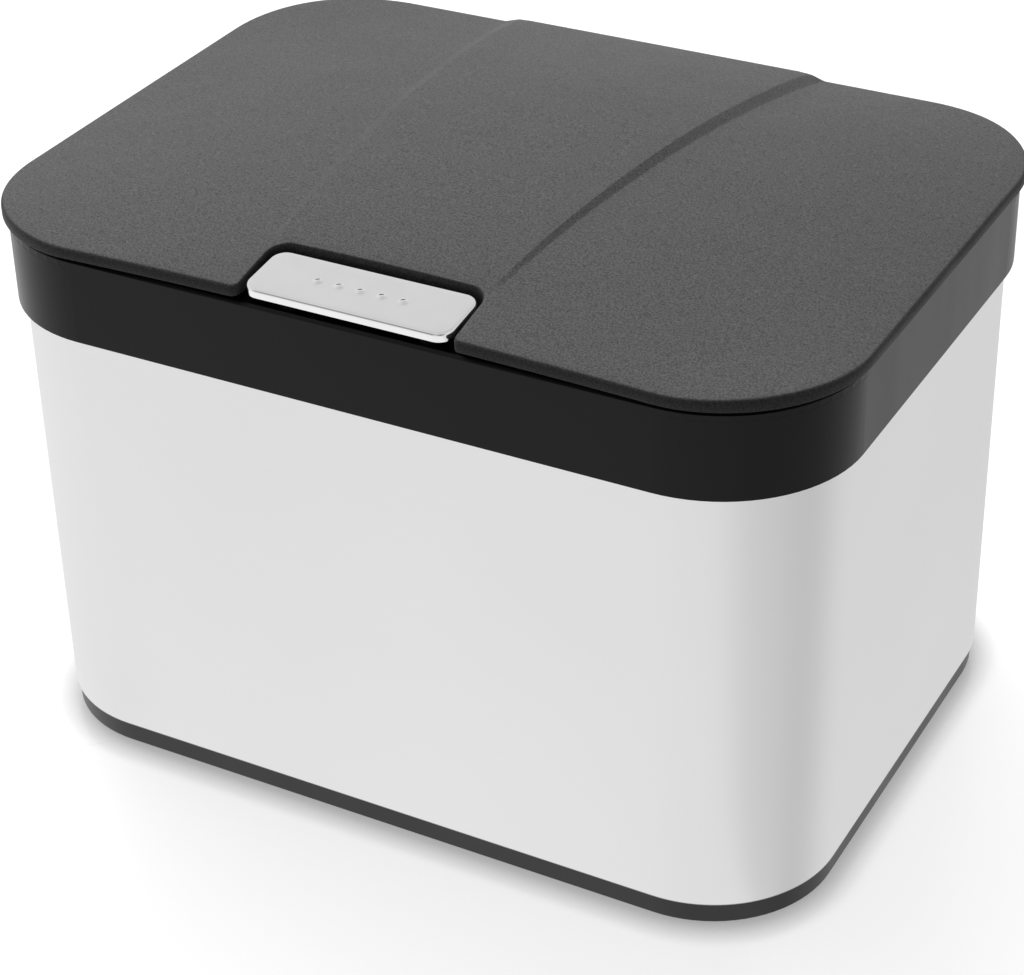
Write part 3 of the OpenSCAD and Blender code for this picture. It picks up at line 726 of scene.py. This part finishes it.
FINISHES = {
    "lid_grey": lid_grain(),
    "collar_black": satin_black(),
    "base_grey": moulded("base_grey", 0.05, 0.06, 0.4, 0.48),
    "inner_black": moulded("inner_black", 0.014, 0.02, 0.42, 0.52),
    "sleeve_steel": satin_steel(),
    "plain_steel": zinc(),
    "button_chrome": chrome(),
    "bolt_acetal": acetal(),
    "seal_rubber": rubber("seal_rubber", 0.05, 0.07),
    "foot_rubber": rubber("foot_rubber", 0.016, 0.024),
}


def dress(obj, slot_name, body, node):
    """Gives a piece its finish and its body, and hides the CAD node that it stands for."""
    obj.data.materials.clear()
    obj.data.materials.append(FINISHES[slot_name])
    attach(obj, body)
    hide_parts(node)


def dress_frame():
    """Gives each CAD node the finish of its slot."""
    for entry in frame["record"]["subparts"]:
        node = frame["nodes"][entry["node"]]
        for held in node.material_slots:
            held.material = FINISHES[entry["material_slot"]]


def coil_springs():
    """The frame's coil springs, each copied as a piece of its own on the root body with its
    slot's finish; the axis and fixed end from its joint are read but not used.
    """
    slots = {e["node"]: e["material_slot"] for e in frame["record"]["subparts"]}
    for joint in frame["record"]["behaviour"]["joints"]:
        for soft in joint.get("deforming_nodes", []):
            node, letter = soft["node"], soft["mode"][-1]
            if soft["mode"] != "scale_" + letter:
                continue
            n = "xyz".index(letter)
            axis, anchor = [0, 0, 0], [0, 0, 0]
            axis[n], anchor[n] = 1, soft[f"fixed_end_{letter}_m"]
            obj = bpy.data.objects.new(node + "_coil", frame["nodes"][node].data.copy())
            bpy.context.collection.objects.link(obj)
            dress(obj, slots[node], "root", node)
            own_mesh(obj)


def steel_sleeve():
    """The sheet sleeve: its hem turned in at the bottom over a small radius."""
    z0, z1 = SLEEVE_LOW[2], SLEEVE_HIGH[2]
    centre = (SLEEVE_IN + HEM_BEND, z0 + HEM_BEND)
    hold = 0.2 * MM
    levels = [z0 + HEM_BEND + hold, (z0 + z1) / 2, z1 - hold, z1]
    profile = (
        [(SLEEVE_IN + HEM_FLANGE, z0)]
        + arc(*centre, HEM_BEND, 270, 180, 5)
        + [(SLEEVE_IN, z) for z in levels]
        + [(SLEEVE_IN + SHEET, z) for z in reversed(levels)]
        + arc(*centre, HEM_BEND - SHEET, 180, 270, 5)
        + [(SLEEVE_IN + HEM_FLANGE, z0 + SHEET)]
    )
    obj = ring_body("steel_sleeve_sheet", profile)
    tidy_normals(obj)
    return obj


# Floor, light and camera


def shown(tree):
    """1 for rays from the camera, or by way of gloss or glass; 0 for light itself."""
    path = tree.nodes.new("ShaderNodeLightPath")
    total = path.outputs["Is Camera Ray"]
    for name in ("Is Glossy Ray", "Is Transmission Ray"):
        add = tree.nodes.new("ShaderNodeMath")
        add.operation = "ADD"
        add.use_clamp = True
        tree.links.new(total, add.inputs[0])
        tree.links.new(path.outputs[name], add.inputs[1])
        total = add.outputs[0]
    return total


def white_floor():
    """White table: part of its white is its own glow, painted darker near the bin as contact
    shade, and gloss sees only what gloss_glow gives.
    """
    bpy.ops.mesh.primitive_plane_add(size=FLOOR_SIZE, location=(0, 0, 0))
    floor = bpy.context.object
    floor.name = "floor"
    f = Finish("floor_white")
    broad = f.noise(3, 2, 0.5)
    f.tint(broad, grey(0.34), grey(0.35))
    f.rough(broad, 0.14, 0.16)
    path = f.node("ShaderNodeLightPath")
    own = f.node("ShaderNodeEmission")
    light = shown(f.tree)
    # Painted contact shade: the floor's own glow is darkened where ambient occlusion finds the
    # bin close by.
    for reach, dark in NEAR_SHADES:
        near = f.node("ShaderNodeAmbientOcclusion", samples=8)
        near.inputs["Distance"].default_value = reach
        level = f.node("ShaderNodeMath", operation="MULTIPLY")
        f.link(light, level.inputs[0])
        f.link(f.between(near.outputs["AO"], 1 - dark, 1.0, 0.5, 1.0), level.inputs[1])
        light = level.outputs[0]
    level = f.node("ShaderNodeMath", operation="MULTIPLY")
    level.inputs[1].default_value = FLOOR_GLOW
    f.link(light, level.inputs[0])
    f.link(level.outputs[0], own.inputs["Strength"])
    both = f.node("ShaderNodeAddShader")
    f.link(f.shader.outputs["BSDF"], both.inputs[0])
    f.link(own.outputs["Emission"], both.inputs[1])
    gloss = f.node("ShaderNodeEmission")
    f.link(gloss_glow(f), gloss.inputs["Strength"])
    mix = f.node("ShaderNodeMixShader")
    f.link(path.outputs["Is Glossy Ray"], mix.inputs["Fac"])
    f.link(both.outputs["Shader"], mix.inputs[1])
    f.link(gloss.outputs["Emission"], mix.inputs[2])
    f.link(mix.outputs["Shader"], f.tree.nodes["Material Output"].inputs["Surface"])
    floor.data.materials.append(f.material)


def gloss_glow(f):
    """The floor as the steel mirrors it: darker fans spread from the bin's right corner."""
    away = f.node("ShaderNodeVectorMath", operation="SUBTRACT")
    away.inputs[1].default_value = FAN_FROM
    f.link(f.node("ShaderNodeTexCoord").outputs["Object"], away.inputs[0])
    unit = f.node("ShaderNodeVectorMath", operation="NORMALIZE")
    f.link(away.outputs[0], unit.inputs[0])
    level = None
    for turn, start, stop, depth in FANS:
        along = f.node("ShaderNodeVectorMath", operation="DOT_PRODUCT")
        along.inputs[1].default_value = (math.cos(turn), math.sin(turn), 0)
        f.link(unit.outputs[0], along.inputs[0])
        fade = f.node("ShaderNodeMapRange", interpolation_type="SMOOTHSTEP")
        fade.inputs["From Min"].default_value = start
        fade.inputs["From Max"].default_value = stop
        fade.inputs["To Min"].default_value = 0.0
        fade.inputs["To Max"].default_value = depth
        f.link(along.outputs["Value"], fade.inputs["Value"])
        less = f.node("ShaderNodeMath", operation="SUBTRACT")
        less.inputs[0].default_value = GLOSS_GLOW
        if level:
            f.link(level, less.inputs[0])
        f.link(fade.outputs["Result"], less.inputs[1])
        level = less.outputs[0]
    return level


def lobe(tree, direction, sharpness, amount):
    """Soft round patch of sky round a direction."""
    place = tree.nodes.new("ShaderNodeTexCoord").outputs["Generated"]
    dot = tree.nodes.new("ShaderNodeVectorMath")
    dot.operation = "DOT_PRODUCT"
    dot.inputs[1].default_value = Vector(direction).normalized()
    tree.links.new(place, dot.inputs[0])
    value = dot.outputs["Value"]
    for operation, number in (("MAXIMUM", 0.0), ("POWER", sharpness), ("MULTIPLY", amount)):
        step = tree.nodes.new("ShaderNodeMath")
        step.operation = operation
        step.inputs[1].default_value = number
        tree.links.new(value, step.inputs[0])
        value = step.outputs[0]
    return value


def sky(tree, base, lobes):
    """Background of a base level with soft patches added to it."""
    value = None
    for direction, sharpness, amount in lobes:
        add = tree.nodes.new("ShaderNodeMath")
        add.operation = "ADD"
        add.inputs[1].default_value = base
        tree.links.new(lobe(tree, direction, sharpness, amount), add.inputs[0])
        if value:
            tree.links.new(value, add.inputs[1])
        value = add.outputs[0]
    made = tree.nodes.new("ShaderNodeBackground")
    tree.links.new(value, made.inputs["Strength"])
    return made.outputs["Background"]


def studio():
    """Soft light from behind and the left; gloss sees a white room, darker round the camera."""
    world = bpy.data.worlds.new("studio")
    bpy.context.scene.world = world
    world.use_nodes = True
    tree = world.node_tree
    light = sky(tree, LIGHT_BASE, LIGHT_PATCHES)
    room = sky(tree, ROOM_BASE, ROOM_PATCHES)
    mix = tree.nodes.new("ShaderNodeMixShader")
    tree.links.new(shown(tree), mix.inputs["Fac"])
    tree.links.new(light, mix.inputs[1])
    tree.links.new(room, mix.inputs[2])
    tree.links.new(mix.outputs["Shader"], tree.nodes["World Output"].inputs["Surface"])


def photo_camera():
    """The photograph's view."""
    back = Vector((
        math.sin(AZIMUTH) * math.cos(ELEVATION),
        -math.cos(AZIMUTH) * math.cos(ELEVATION),
        math.sin(ELEVATION),
    ))
    level = (-back).cross(Vector((0, 0, 1))).normalized()
    above = level.cross(-back)
    right = level * math.cos(ROLL) + above * math.sin(ROLL)
    up = above * math.cos(ROLL) - level * math.sin(ROLL)
    eye = TARGET + back * DISTANCE + right * SHIFT_RIGHT + up * SHIFT_UP
    data = bpy.data.cameras.new("photo_camera")
    data.sensor_width = SENSOR
    data.lens = SENSOR * FOCAL_PIXELS / PHOTO_WIDTH
    data.clip_start = 0.05
    obj = bpy.data.objects.new("photo_camera", data)
    bpy.context.scene.collection.objects.link(obj)
    turn = Matrix((right, up, back)).transposed()
    obj.matrix_world = Matrix.Translation(eye) @ turn.to_4x4()
    bpy.context.scene.camera = obj


photo_camera()
dress_frame()
dress(lid_cover(), "lid_grey", "lid", "lid_cover")
dress(push_button(), "button_chrome", "button", "push_button")
dress(steel_sleeve(), "sleeve_steel", "root", "steel_sleeve")
coil_springs()
white_floor()
studio()

bpy.context.scene.view_settings.view_transform = "Standard"
